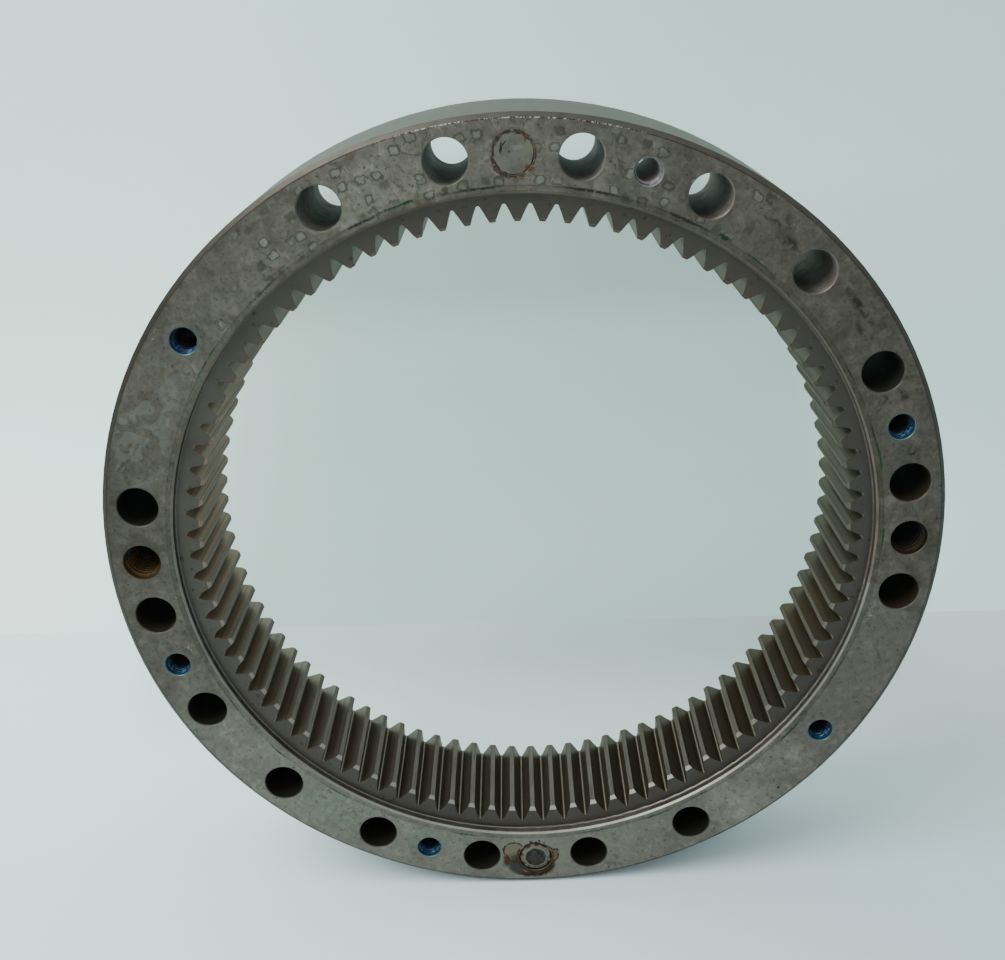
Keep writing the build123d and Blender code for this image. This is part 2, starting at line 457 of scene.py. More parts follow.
def dress_face(finish, on_face):
    """What lies on the front face, from the broad shades down to the dashes of sealant."""
    polar = finish.warped(finish.polar, 0.09, (2.6, 0, 5.0), seed=1)
    fine = finish.warped(finish.polar, 0.8, (0.8, 0, 1.6), seed=2)
    shade_face(finish, on_face, polar)
    water_stains(finish, finish.both(marks(finish, polar, STAINED, 0.3), on_face))
    wear_face(finish, on_face, polar)
    soil_face(finish, on_face, fine)


def dress_round_bottom_pin(finish, on_face):
    """Pale halo, beige and brown patches, and the broken dark lines round the bottom pin."""
    pale, beige_dust, dark_rust, slate_grey = (
        (0.215, 0.205, 0.172), (0.138, 0.126, 0.084), (0.024, 0.008, 0.004), (0.030, 0.030, 0.031))
    moss_brown, red_rust, pink_dust, ochre = (
        (0.036, 0.033, 0.020), (0.040, 0.015, 0.005), (0.165, 0.110, 0.088), (0.100, 0.074, 0.032))
    line_brown, black_brown = (0.026, 0.012, 0.005), (0.010, 0.007, 0.004)

    local = finish.warped(about_pin(finish, BOTTOM_PIN_ANGLE), 0.13, (5.0, 0, 5.0), seed=21)
    ragged = finish.warped(local, 0.5, (1.5, 0, 1.5), seed=24)
    patchy = finish.fade(finish.noise(0.45, 4.0, seed=23), 0.30, 0.50, 0.80, 1.0)
    halo = finish.spot(local, (-1, 0), (23, 15), 0.25)
    finish.paint(pale, finish.both(halo, on_face, 0.55), 0.55)
    beige = finish.spot(ragged, *BEIGE_PATCH, 0.15, turn=12)
    finish.paint(beige_dust, finish.both(beige, on_face, 0.9), 0.7, 0.2)
    crescent = finish.spot(ragged, (-1.4, -5.0), (13.8, 9.8), 0.10)
    finish.paint(dark_rust, finish.both(crescent, on_face, patchy), 0.75, 0.0)
    slate = finish.spot(ragged, (-11.6, -6.4), (6.2, 4.8), 0.3, turn=-35)
    finish.paint(slate_grey, finish.both(slate, on_face, patchy), 0.6, 0.15)
    moss = finish.spot(ragged, (-12.0, -0.4), (4.2, 3.8), 0.5)
    finish.paint(moss_brown, finish.both(moss, on_face, patchy, 0.85), 0.7, 0.2)
    blob = finish.spot(ragged, (-18.2, -1.8), (2.1, 4.4), 0.4)
    finish.paint(red_rust, finish.both(blob, on_face, 0.95), 0.8, 0.0)
    pink = finish.spot(ragged, (-5.8, -9.6), (1.8, 1.2), 0.7)
    finish.paint(pink_dust, finish.both(pink, on_face, 0.7), 0.6, 0.2)
    beak = finish.spot(ragged, *BEAK_PATCH, 0.2, turn=-28)
    finish.paint(ochre, finish.both(beak, on_face, 0.9), 0.7, 0.2)
    lines = finish.either(
        finish.outline(ragged, *BEAK_PATCH, 0.15, turn=-28),
        finish.outline(ragged, *BEIGE_PATCH, 0.08, turn=12),
        finish.outline(ragged, (0, 0), (PIN_MM + 0.9, PIN_MM + 0.7), 0.08))
    broken = finish.fade(finish.noise(0.4, seed=22), 0.36, 0.50)
    finish.paint(line_brown, finish.both(lines, on_face, broken, 0.95), 0.75, 0.0)
    dots = marks(finish, ragged, BLACK_DOTS, 0.4)
    arc = finish.both(finish.outline(local, (0, 0.6), (PIN_MM + 0.4, PIN_MM + 0.2), 0.05),
                      finish.spot(local, (-0.8, 10.6), (8.5, 3.4), 0.2))
    finish.paint(black_brown, finish.both(finish.either(dots, arc), on_face, 0.95), 0.75, 0.0)


def dress_round_top_pin(finish, on_face):
    """The line of rust round the top pin, with an olive wedge and orange crumbs beside it."""
    olive = (0.075, 0.070, 0.035)
    local = finish.warped(about_pin(finish, TOP_PIN_ANGLE), 0.3, (2.6, 0, 2.6), seed=31)
    ragged = finish.warped(local, 0.8, (2.6, 0, 2.6), seed=33)
    wedge = finish.spot(ragged, (10.2, 1.2), (2.2, 3.2), 0.5, turn=-20)
    finish.paint(olive, finish.both(wedge, on_face, 0.75), 0.6, 0.3)
    line = finish.outline(local, (0, 0), (PIN_MM + 0.35, PIN_MM + 0.35), 0.07)
    second = finish.both(finish.outline(ragged, (-0.3, -0.3), (PIN_MM + 1.0, PIN_MM + 0.9), 0.03),
                         finish.spot(local, (-5.5, -8.0), (6.0, 4.5), 0.3))
    broken = finish.fade(finish.noise(0.5, seed=32), 0.36, 0.52)
    finish.paint(RUST_LINE, finish.both(finish.either(line, second), on_face, broken), 0.75, 0.0)
    orange = marks(finish, ragged, ORANGE_ROUND_TOP_PIN, 0.6)
    finish.paint(ORANGE_RUST, finish.both(orange, on_face, 0.9), 0.75, 0.1)


def dress_register(finish, depth):
    """The register: painted highlights on its chamfer and corner, strongest below; away from the bottom,
    painted shade near the edge, browner too, and a darker crease of painted shade.
    """
    highlit_corner, crease_tint = (0.165, 0.163, 0.150), (0.86, 0.77, 0.71)
    near_edge = finish.band(finish.radius, REGISTER_MM + 0.5, 0.55, 0.12)
    chamfer = finish.both(near_edge, finish.band(depth, 0.5, 0.52, 0.06))
    corner = finish.both(finish.band(finish.radius, REGISTER_MM - 0.5, 0.7, 0.2),
                         finish.band(depth, REGISTER_DEPTH_MM - 0.5, 0.7, 0.2))
    highlight_weight = finish.fade(finish.noise(0.08, seed=41), 0.25, 0.6, 0.55, 1.0)
    below = finish.spot(finish.polar, (272, REGISTER_MM), (88, 80), 0.35)
    bright = finish.math("MULTIPLY_ADD", below, 0.65, 0.32)
    # painted highlights on the register's chamfer and corner fillet, strongest at the bottom, where they face
    # up
    finish.paint(HIGHLIT_EDGE, finish.both(chamfer, highlight_weight, bright), 0.34)
    finish.paint(highlit_corner, finish.both(corner, highlight_weight, bright), 0.34)
    # painted shade near the register and in its crease, everywhere but the bottom
    near_register = finish.band(finish.radius, REGISTER_MM, 1.2, 0.15)
    finish.tint(crease_tint, finish.both(near_register, finish.math("SUBTRACT", 1, below)))
    crease = finish.both(finish.band(finish.radius, REGISTER_MM - 0.1, 0.35, 0.15),
                         finish.fade(depth, 0.9, 1.4))
    finish.paint(GRIME_AND_SHADE, finish.both(crease, finish.math("SUBTRACT", 1, below), 0.5), 0.6, 0.3)


def dress_teeth(finish):
    """Toothed ends a little darker than the face, brown oil on the flanks, lighter lands, painted highlights
    on the tip chamfers, painted light on the left flanks and painted shade at the right.
    """
    end_steel, oil, gold = (0.068, 0.060, 0.051), (0.150, 0.132, 0.106), (0.165, 0.118, 0.060)
    highlit_chamfer, land_steel = (0.225, 0.232, 0.220), (0.168, 0.142, 0.127)
    bright_root, rubbed_steel = (0.27, 0.212, 0.178), (0.22, 0.195, 0.16)
    streak_tint, scratch_tint = (0.52, 0.49, 0.45), (0.74, 0.73, 0.71)
    left_tint, right_tint = (1.60, 1.53, 1.50), (0.74, 0.71, 0.68)
    upper_right_tint, upper_tint = (0.86, 0.76, 0.74), (1.20, 0.98, 0.96)

    inside = finish.fade(finish.radius, REGISTER_MM - 0.2, REGISTER_MM - 0.8)
    depth = finish.from_nearer_face()
    on_end = finish.fade(depth, REGISTER_DEPTH_MM + 0.12, REGISTER_DEPTH_MM + 0.04)
    patchy = finish.noise(0.03, seed=51)
    finish.paint(end_steel, finish.both(inside, 0.9))
    specks = finish.fade(finish.noise(0.28, 2.0, seed=52), 0.64, 0.72)
    finish.paint(GRIME_AND_SHADE, finish.both(inside, on_end, specks, 0.8))
    below = finish.math("SUBTRACT", 1, on_end)
    past_tip = finish.fade(finish.radius, TOOTH_TIP_MM + 0.03, TOOTH_TIP_MM + 0.3)
    flank = finish.both(inside, below, past_tip)
    turned, out = finish.math("MULTIPLY", finish.angle, 0.6), finish.math("MULTIPLY", finish.radius, 0.9)
    streaks = finish.noise(1.0, 3.0, seed=53, where=finish.combined(turned, 0, out))
    finish.paint(oil, finish.both(flank, finish.fade(streaks, 0.2, 0.8, 0.65, 1.0)), 0.36)
    finish.tint(streak_tint, finish.both(flank, finish.fade(streaks, 0.50, 0.62)))
    golden = finish.spot(finish.polar, (326, MID_TOOTH_MM), (34, 20), 0.5)
    finish.paint(gold, finish.both(flank, golden, finish.fade(patchy, 0.4, 0.6), 0.6))

    chamfer_sum = REGISTER_DEPTH_MM + TOOTH_TIP_MM + TIP_CHAMFER_MM  # depth and radius on the chamfer
    past_chamfer = finish.math("SUBTRACT", finish.math("ADD", depth, finish.radius), chamfer_sum)
    chamfer = finish.fade(past_chamfer, 0.12, 0.05)
    # painted highlight on the tooth tips' front chamfers, strongest at the bottom, where they face up
    lower = finish.spot(finish.polar, (272, TOOTH_TIP_MM), (75, 30), 0.4)
    highlight_weight = finish.math("MULTIPLY_ADD", lower, 0.70, 0.15)
    finish.paint(highlit_chamfer, finish.both(inside, chamfer, highlight_weight), 0.40)
    at_tip = finish.fade(finish.radius, TOOTH_TIP_MM + 0.3, TOOTH_TIP_MM + 0.03)
    land = finish.both(inside, below, at_tip)
    finish.paint(land_steel, finish.both(land, 0.9), 0.48)
    turned, inward = finish.math("MULTIPLY", finish.angle, 3.5), finish.math("MULTIPLY", finish.depth, 0.04)
    scratches = finish.noise(1.0, 4.0, seed=54, where=finish.combined(turned, 0, inward))
    finish.tint(scratch_tint, finish.both(land, finish.fade(scratches, 0.46, 0.60)))

    # painted light on the flanks at the left
    left = finish.spot(finish.polar, (188, MID_TOOTH_MM), (48, 40), 0.4)
    finish.tint(left_tint, finish.both(flank, left))
    # painted shade on the teeth at the right
    right = finish.either(finish.spot(finish.polar, (18, MID_TOOTH_MM), (50, 40), 0.3),
                          finish.spot(finish.polar, (325, MID_TOOTH_MM), (42, 40), 0.3))
    finish.tint(right_tint, finish.both(inside, below, right))
    upper_right = finish.spot(finish.polar, (44, MID_TOOTH_MM), (26, 40), 0.4)
    finish.tint(upper_right_tint, finish.both(flank, upper_right))
    upper = finish.spot(finish.polar, (120, MID_TOOTH_MM), (75, 40), 0.3)
    finish.tint(upper_tint, finish.both(flank, upper))
    at_root = finish.fade(finish.radius, TOOTH_ROOT_MM - 0.12, TOOTH_ROOT_MM - 0.03)
    finish.paint(bright_root, finish.both(finish.both(flank, at_root), 0.85), 0.42)
    contact = finish.both(flank, finish.band(finish.radius, TOOTH_PITCH_MM, 2.6, 0.8), 0.2)
    finish.paint(rubbed_steel, contact, 0.32)


def dress_hole_walls(finish):
    """Walls darkened with painted shade, painted light on those at the top, brown and blue tapped ones, and
    their rubbed mouths.
    """
    hole_shade, lit_wall, brown_oil = (0.012, 0.011, 0.008), (0.222, 0.192, 0.176), (0.034, 0.023, 0.011)
    left_rust, right_rust, locker = (0.040, 0.022, 0.007), (0.020, 0.011, 0.005), (0.011, 0.046, 0.085)
    worn_lip, pale_lip, rusty_lip = (0.105, 0.105, 0.093), (0.085, 0.135, 0.140), (0.040, 0.030, 0.018)
    stain_tint = (0.68, 0.67, 0.65)
    small_reach, large_reach = (2.2, 8), (3.0, 11)  # degrees and mm round a tapped hole's centre

    def at_hole(angle, reach, softness=0.05):
        return finish.spot(finish.polar, (angle, HOLE_CIRCLE_MM), reach, softness)

    depth = finish.from_nearer_face()
    between = finish.both(finish.fade(finish.radius, REGISTER_MM + 1.6, REGISTER_MM + 2.0),
                          finish.fade(finish.radius, OUTER_MM - 3.2, OUTER_MM - 3.6))
    wall = finish.both(between, finish.fade(depth, 0.03, 0.10))
    clouds = finish.noise(0.09, seed=61)
    # painted shade: the dark walls inside the bolt holes
    finish.paint(hole_shade, finish.both(wall, 0.97), 0.72, 0.25)
    top = finish.spot(finish.polar, (82, MID_FACE_MM), (48, 60), 0.25)
    ragged = finish.math("ADD", finish.radius, finish.math("MULTIPLY", clouds, 14))
    finish.paint(lit_wall, finish.both(wall, top, finish.fade(ragged, 205, 214, 0.3, 1.0)), 0.62)
    lit_hole = finish.spot(finish.polar, (LIT_TAPPED_ANGLE, MID_FACE_MM), small_reach, 0.05)
    # painted light on the wall of the tapped hole that light falls through
    finish.paint(DEEP_WALL, finish.both(wall, lit_hole), 0.5)
    brown = marks(finish, finish.polar, [((angle, MID_FACE_MM), (4, 30)) for angle in (9, 351, 189)], 0.2)
    finish.paint(brown_oil, finish.both(wall, brown, finish.fade(depth, 14, 1), 0.7), 0.7)
    stained = finish.fade(finish.noise(0.16, 5.0, seed=62, distortion=0.8), 0.45, 0.62)
    finish.tint(stain_tint, finish.both(wall, top, stained))
    lip = finish.both(between, finish.band(depth, 0.3, 0.28, 0.05))
    for angle, colour in ((LEFT_TAPPED_ANGLE, left_rust), (RIGHT_TAPPED_ANGLE, right_rust)):
        finish.paint(colour, finish.both(wall, at_hole(angle, large_reach), 0.95), 0.7)
    for angle in BLUE_TAPPED_ANGLES:
        finish.paint(locker, finish.both(wall, at_hole(angle, small_reach), 0.95), 0.3)
    finish.paint(worn_lip, finish.both(lip, finish.noise(0.3, seed=63)), 0.42, 0.8)
    tapped = finish.either(*[at_hole(angle, (2.6, 9), 0.1) for angle in BLUE_TAPPED_ANGLES])
    finish.paint(pale_lip, finish.both(lip, tapped, 0.8), 0.4, 0.5)
    rusted = at_hole(LEFT_TAPPED_ANGLE, (3.3, 12), 0.1)
    finish.paint(rusty_lip, finish.both(lip, rusted), 0.6, 0.3)


def dress_barrel(finish, depth):
    """The outside: scored barrel, darker chamfer, and a dirty, rusty and chipped rim."""
    rim_dirt, rim_rust, bare_chip = (0.035, 0.033, 0.030), (0.12, 0.065, 0.030), (0.42, 0.42, 0.39)
    chamfer_tint, left_tint, score_tint = (0.50, 0.555, 0.55), (0.55, 0.50, 0.46), (0.72, 0.72, 0.70)
    edge_mm = OUTER_MM - OUTER_CHAMFER_MM

    barrel = finish.fade(finish.radius, edge_mm + 0.15, edge_mm + 0.3)
    finish.paint(BARREL_STEEL, finish.both(barrel, 0.85), 0.40)
    chamfer = finish.both(finish.fade(finish.radius, edge_mm, edge_mm + 0.1), finish.fade(depth, 2.6, 2.4))
    finish.tint(chamfer_tint, chamfer)
    left_edge = finish.both(finish.fade(finish.radius, edge_mm, edge_mm + 0.1),
                            finish.spot(finish.polar, (192, OUTER_MM), (62, 30), 0.3))
    finish.tint(left_tint, left_edge)
    scored = finish.noise(0.6, 2.0, seed=17, where=finish.combined(finish.angle, finish.depth, 0))
    finish.tint(score_tint, finish.both(barrel, finish.fade(scored, 0.5, 0.75)))
    rim = finish.both(finish.band(finish.radius, edge_mm - 0.05, 0.28, 0.25), finish.fade(depth, 0.35, 0.2))
    dirty = finish.fade(finish.noise(0.10, seed=14), 0.25, 0.45, 0.35, 1)
    finish.paint(rim_dirt, finish.both(rim, dirty), 0.5)
    rust_line = finish.both(rim, finish.fade(finish.noise(0.22, 4.0, seed=18), 0.58, 0.64))
    finish.paint(rim_rust, finish.both(rust_line, 0.7), 0.7)
    chipped = finish.both(rim, finish.fade(finish.noise(0.9, 3.0, seed=19), 0.50, 0.58),
                          finish.spot(finish.polar, (90, OUTER_MM), (15, 9), 0.4))
    finish.paint(bare_chip, chipped, 0.5)


def ring_finish():
    """Worn grey steel all over, then what lies on each kind of surface."""
    specular = (0.6, 0.6, 0.58, 1)
    dark_grain, pale_grain, dark_cloud = (0.78, 0.77, 0.75), (1.22, 1.22, 1.20), (0.80, 0.79, 0.76)
    rear_tint = (1.30, 1.08, 1.05)

    finish = Finish("worn_ring_steel", STEEL_DARK, 0.46, metallic=0.85)
    finish.shader.inputs["Specular Tint"].default_value = specular
    broad = finish.noise(0.012, 3.0, seed=0.5)
    grain = finish.math("MULTIPLY", finish.noise(0.11, 5.0, seed=1.5), 0.5)
    finish.paint(STEEL_LIGHT, finish.fade(finish.math("ADD", broad, grain), 0.45, 1.05))
    finish.tint(dark_grain, finish.fade(finish.noise(0.55, 4.0, seed=2.5), 0.46, 0.72))
    finish.tint(pale_grain, finish.fade(finish.noise(0.16, 5.0, seed=4.5, distortion=0.8), 0.50, 0.66))
    finish.tint(dark_cloud, finish.fade(finish.noise(0.07, 5.0, seed=5.5, distortion=1.2), 0.52, 0.62))
    dull = finish.fade(finish.noise(0.05, 4.0, seed=3.5), 0.35, 0.7)
    finish.roughness = finish.mixed(finish.roughness, 0.58, dull)
    on_front = finish.fade(finish.depth, 0.05, 0.02)
    flat = finish.both(finish.fade(finish.radius, REGISTER_MM + 0.9, REGISTER_MM + 1.1),
                       finish.fade(finish.radius, OUTER_MM - 2.4, OUTER_MM - 2.6))
    on_face = finish.both(on_front, flat)
    dress_face(finish, on_face)
    dress_round_bottom_pin(finish, on_face)
    dress_round_top_pin(finish, on_face)
    depth = finish.from_nearer_face()
    dress_register(finish, depth)
    dress_teeth(finish)
    dress_hole_walls(finish)
    dress_barrel(finish, depth)
    on_rear = finish.both(finish.fade(finish.depth, WIDTH_MM - 5.3, WIDTH_MM - 5.1),
                          finish.fade(finish.radius, OUTER_MM - 2.2, OUTER_MM - 2.35))
    finish.tint(rear_tint, on_rear)
    finish.tint(ROOM_DIM, 1.0)
    finish.raise_by(0.035, finish.noise(0.35, 4.0, seed=15))
    finish.raise_by(0.010, finish.noise(1.8, 2.0, seed=16))
    return finish.done()


def top_pin_finish():
    """A flush pin end: clouded steel with a rusty edge, orange crumbs and two dark strokes."""
    pin_steel, yellow_oil, pale_smear = (0.150, 0.142, 0.126), (0.145, 0.145, 0.078), (0.215, 0.205, 0.185)
    stroke_black, dot_black, cloud_tint = (0.014, 0.014, 0.012), (0.020, 0.020, 0.018), (0.74, 0.73, 0.71)

    finish = Finish("flush_pin_steel", pin_steel, 0.48, metallic=0.85)
    finish.tint(cloud_tint, finish.fade(finish.noise(0.22, 4.0, seed=71), 0.42, 0.68))
    local = finish.warped(about_pin(finish, TOP_PIN_ANGLE), 0.4, (2.0, 0, 2.0), seed=72)
    ragged = finish.warped(local, 0.8, (2.6, 0, 2.6), seed=75)
    edge = finish.fade(finish.distance(local, (0, 0), (PIN_MM, PIN_MM)), 0.90, 0.97)
    broken = finish.fade(finish.noise(0.45, seed=73), 0.34, 0.52)
    finish.paint(RUST_LINE, finish.both(edge, broken), 0.75, 0.0)
    orange = marks(finish, ragged, ORANGE_ON_TOP_PIN, 0.6)
    finish.paint(ORANGE_RUST, finish.both(orange, 0.9), 0.75, 0.1)
    yellow = finish.spot(ragged, (8.0, 2.6), (1.8, 3.0), 0.6)
    finish.paint(yellow_oil, finish.both(yellow, 0.6), 0.55, 0.4)
    pale = finish.spot(local, (2.2, 2.8), (3.0, 1.2), 0.5)
    finish.paint(pale_smear, finish.both(pale, 0.6))
    strokes = finish.either(finish.spot(local, (-6.0, 3.2), (0.6, 2.7), 0.25, turn=-8),
                            finish.spot(local, (-4.2, 5.0), (0.4, 1.6), 0.25, turn=-35))
    finish.paint(stroke_black, finish.both(strokes, 0.95), 0.5, 0.1)
    finish.paint(dot_black, finish.spot(local, (-1.8, 1.0), (0.45, 0.45), 0.4))
    finish.tint(ROOM_DIM, 1.0)
    finish.raise_by(0.04, finish.noise(0.5, 4.0, seed=74))
    return finish.done()


def bottom_pin_finish():
    """A dark flat end inside a beige taper, with brown patches out to a nearly black edge."""
    dark_end, grey_cloud, black_pit = (0.019, 0.016, 0.014), (0.048, 0.044, 0.039), (0.006, 0.006, 0.006)
    red_stain, taper, brown_rust, edge_rust = (
        (0.050, 0.024, 0.016), (0.132, 0.118, 0.090), (0.055, 0.030, 0.012), (0.014, 0.006, 0.002))

    finish = Finish("stained_pin_steel", dark_end, 0.55, metallic=0.6)
    local = about_pin(finish, BOTTOM_PIN_ANGLE)
    away_mm = finish.vector("LENGTH", finish.warped(local, 0.35, (2.4, 0, 2.4), seed=85))
    finish.paint(grey_cloud, finish.fade(finish.noise(0.5, 5.0, seed=81), 0.45, 0.62, 0.0, 0.8), 0.6)
    finish.paint(black_pit, finish.fade(finish.noise(0.8, 4.0, seed=86), 0.54, 0.64), 0.6)
    redness = finish.spot(finish.warped(local, 0.4, (2, 0, 2), seed=82), (-0.5, -1.8), (3.4, 1.6), 0.6)
    finish.paint(red_stain, finish.both(redness, 0.7))
    rim = finish.fade(away_mm, 6.15, 6.7)
    finish.paint(taper, rim, 0.6, 0.35)
    brown = finish.fade(finish.noise(0.5, 5.0, seed=83), 0.44, 0.58)
    finish.paint(brown_rust, finish.both(rim, brown, finish.fade(away_mm, 6.4, 8.6), 0.95), 0.75, 0.1)
    finish.paint(edge_rust, finish.both(finish.fade(away_mm, 8.8, 9.4), 0.95), 0.75, 0.0)
    finish.raise_by(0.05, finish.noise(0.5, 4.0, seed=84))
    return finish.done()


# ---- thread ridges ----
# painted shade: the deep colour far inside the tapped holes and in their upper parts
NEARLY_BLACK = (0.006, 0.006, 0.007)
THREAD_STEPS = 40  # straight pieces per turn
THREAD_START = 0.85  # in pitches, like the next three: how far inside the faces a ridge begins
THREAD_HEIGHT = 0.54
HALF_FOOT = 0.44
HALF_CREST = 0.14
FOOT_SINK_MM = 0.02  # a ridge's foot lies this deep in the wall, so that no gap shows


def thread_finish(name, colour, blotch, bright_depth, deep=NEARLY_BLACK, roughness=0.45, deep_colour_above=-1.0):
    """Coated near the mouth; deeper in, and above this height in mm, it goes over to the deep colour, painted
    shade, except in the lit hole, where the deep colour is painted light.
    """
    finish = Finish(name, colour, roughness, metallic=0.35)
    finish.shader.inputs["Specular IOR Level"].default_value = 0.2
    finish.paint(blotch, finish.fade(finish.noise(0.55, 4.0, seed=91), 0.44, 0.58))
    finish.paint(deep, finish.fade(finish.depth, bright_depth, bright_depth * 2.2))
    ragged = finish.math("ADD", finish.z, finish.math("MULTIPLY", finish.noise(0.5, seed=93), 5))
    finish.paint(deep, finish.both(finish.fade(ragged, deep_colour_above + 1.5, deep_colour_above + 5.5), 0.93))
    finish.raise_by(0.05, finish.noise(0.8, 3.0, seed=92))
    return finish.done()


def thread_ridge(name, angle, hole_mm, pitch_mm, side, crest):
    """A helical ridge on a tapped hole's wall: triangular, tapering away at both its ends."""
    start_mm = THREAD_START * pitch_mm
    foot_mm = hole_mm + FOOT_SINK_MM
    steps = int((WIDTH_MM - 2 * start_mm) / pitch_mm * THREAD_STEPS)
    points, faces = [], []
    for step in range(steps + 1):
        turn = 2 * pi * step / THREAD_STEPS
        depth = start_mm + pitch_mm * step / THREAD_STEPS
        taper = min(1.0, step / THREAD_STEPS, (steps - step) / THREAD_STEPS)
        crest_mm = hole_mm - THREAD_HEIGHT * pitch_mm * taper
        section = (
            (foot_mm, -HALF_FOOT), (crest_mm, -HALF_CREST), (crest_mm, HALF_CREST), (foot_mm, HALF_FOOT)
        )
        for radius, offset in section:
            around = Vector((radius * cos(turn), 0, radius * sin(turn))) / 1000
            points.append(around + Vector((0, FRONT_Y + (depth + offset * pitch_mm) / 1000, 0)))
    for step in range(steps):
        here, ahead = step * 4, step * 4 + 4
        for corner in range(4):
            following = (corner + 1) % 4
            faces.append((here + corner, ahead + corner, ahead + following, here + following))
    last = steps * 4
    faces += [(3, 2, 1, 0), (last, last + 1, last + 2, last + 3)]
    ridge = mesh_object(name, points, faces)
    ridge.location = HOLE_CIRCLE * cos(radians(angle)), 0, HOLE_CIRCLE * sin(radians(angle))
    ridge.data.materials.append(side)
    ridge.data.materials.append(crest)
    for step in range(steps):
        ridge.data.polygons[4 * step + 1].material_index = 1
    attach(ridge, "root")


def add_threads():
    """Blue coated, bare or rusty threads, each as a pair of finishes: its sides, and its crest. The crests
    are lighter copies with painted light; the blue ones also carry painted highlights.
    """
    blue = (
        thread_finish("navy_locker", (0.003, 0.012, 0.045), (0.010, 0.055, 0.120), 5.0),
        # painted highlights: the near-white blotches on the blue crests
        thread_finish("lit_locker_crests", (0.022, 0.075, 0.150), (0.40, 0.55, 0.62), 3.8, roughness=0.25),
    )
    steel = thread_finish(
        "bright_threads", (0.030, 0.050, 0.080), (0.10, 0.13, 0.17), 2.2, deep=DEEP_WALL, deep_colour_above=9.0)
    # the rusty and brown crests: real rust and oil, painted lighter than the sides as painted light
    rusty = (
        thread_finish("rusty_threads", (0.030, 0.015, 0.004), (0.045, 0.024, 0.006), 16.0, roughness=0.6),
        thread_finish("rusty_crests", (0.18, 0.105, 0.024), (0.28, 0.170, 0.045), 16.0, roughness=0.5),
    )
    brown = (
        thread_finish("brown_threads", (0.010, 0.006, 0.003), (0.016, 0.010, 0.005), 8.0, roughness=0.6),
        thread_finish("brown_crests", (0.050, 0.032, 0.014), (0.11, 0.070, 0.032), 6.0, roughness=0.5),
    )
    for angle in SMALL_TAPPED_ANGLES:
        pair = (steel, steel) if angle == LIT_TAPPED_ANGLE else blue
        thread_ridge(f"thread_m14_at_{angle}", angle, SMALL_TAPPED_MM, SMALL_PITCH_MM, *pair)
    for angle, pair in ((RIGHT_TAPPED_ANGLE, brown), (LEFT_TAPPED_ANGLE, rusty)):
        thread_ridge(f"thread_m20_at_{angle}", angle, LARGE_TAPPED_MM, LARGE_PITCH_MM, *pair)


def dress_nodes():
    """Each CAD body gets one finish in place of its plain one; its mesh stays as it is."""
    finishes = {
        "ring_gear": ring_finish(),
        "top_locating_pin": top_pin_finish(),
        "bottom_locating_pin": bottom_pin_finish(),
    }
    for name, node in frame["nodes"].items():
        node.data.materials.clear()
        node.data.materials.append(finishes[name])


# ---- studio, in metres ----
COVE_START, COVE_RADIUS, COVE_TOP, COVE_STEPS, STAGE_REACH = 0.95, 0.75, 3.2, 12, 5.0
BOARD_REAR, BOARD_FRONT, BOARD_HALF_WIDTH, BOARD_THICKNESS = 0.292, -1.6, 2.2, 0.0015
BOARD_TURN = -1.0  # degrees
CLOUD_TINT = (0.985, 0.985, 0.985)
KEY_PLACE, KEY_TARGET, KEY_SIZE, KEY_POWER = (-1.3, -0.9, 1.9), (0, 0, 0), 1.6, 54
KEY_COLOUR = (0.92, 1.0, 0.96)
ROOM_LEFT, ROOM_RIGHT, ROOM_FRONT = (1.42, 1.60, 1.54), (0.61, 0.70, 0.69), (0.24, 0.25, 0.24)
ROOM_STRENGTH = 1.50


def backdrop_finish():
    """Pale, with painted light at the lower left, painted shade towards the right, and painted shade behind
    the ring, as if it stood closer.
    """
    pale, right_tint, low_left_tint, low_right_tint = (
        (0.75, 0.94, 0.91), (0.80, 0.80, 0.81), (1.42, 1.22, 1.23), (0.91, 0.92, 0.91))
    shade_tint, high_shade_tint = (0.635, 0.64, 0.625), (0.78, 0.79, 0.78)
    ring_spread, ring_rise_mm, ring_rise_scale = 0.16, 160, 1.2  # the ring's outline, seen on the cove

    finish = Finish("pale_backdrop", pale, 0.7)
    finish.tint(CLOUD_TINT, finish.fade(finish.noise(0.004, 4.0, seed=95), 0.35, 0.65))
    # painted shade towards the right and at the lower right; painted light at the lower left
    finish.tint(right_tint, finish.fade(finish.x, -700, 500))
    low_left = finish.both(finish.fade(finish.x, -200, -480), finish.fade(finish.y, 1700, 450))
    finish.tint(low_left_tint, low_left)
    low_right = finish.both(finish.fade(finish.x, 300, 650), finish.fade(finish.z, 0, -150))
    finish.tint(low_right_tint, low_right)
    from_middle = finish.math("ABSOLUTE", finish.x)
    aside = finish.math("SUBTRACT", from_middle, finish.math("MULTIPLY", finish.y, ring_spread))
    above = finish.math("MAXIMUM", finish.math("ADD", finish.z, ring_rise_mm), 0)
    up = finish.math("MULTIPLY", above, ring_rise_scale)
    shaded = finish.both(finish.fade(finish.math("ADD", aside, up), 330, 215), finish.fade(finish.z, 60, -80))
    finish.tint(shade_tint, shaded)
    finish.tint(high_shade_tint, finish.both(shaded, finish.fade(finish.z, -222, -150)))
    return finish.done()


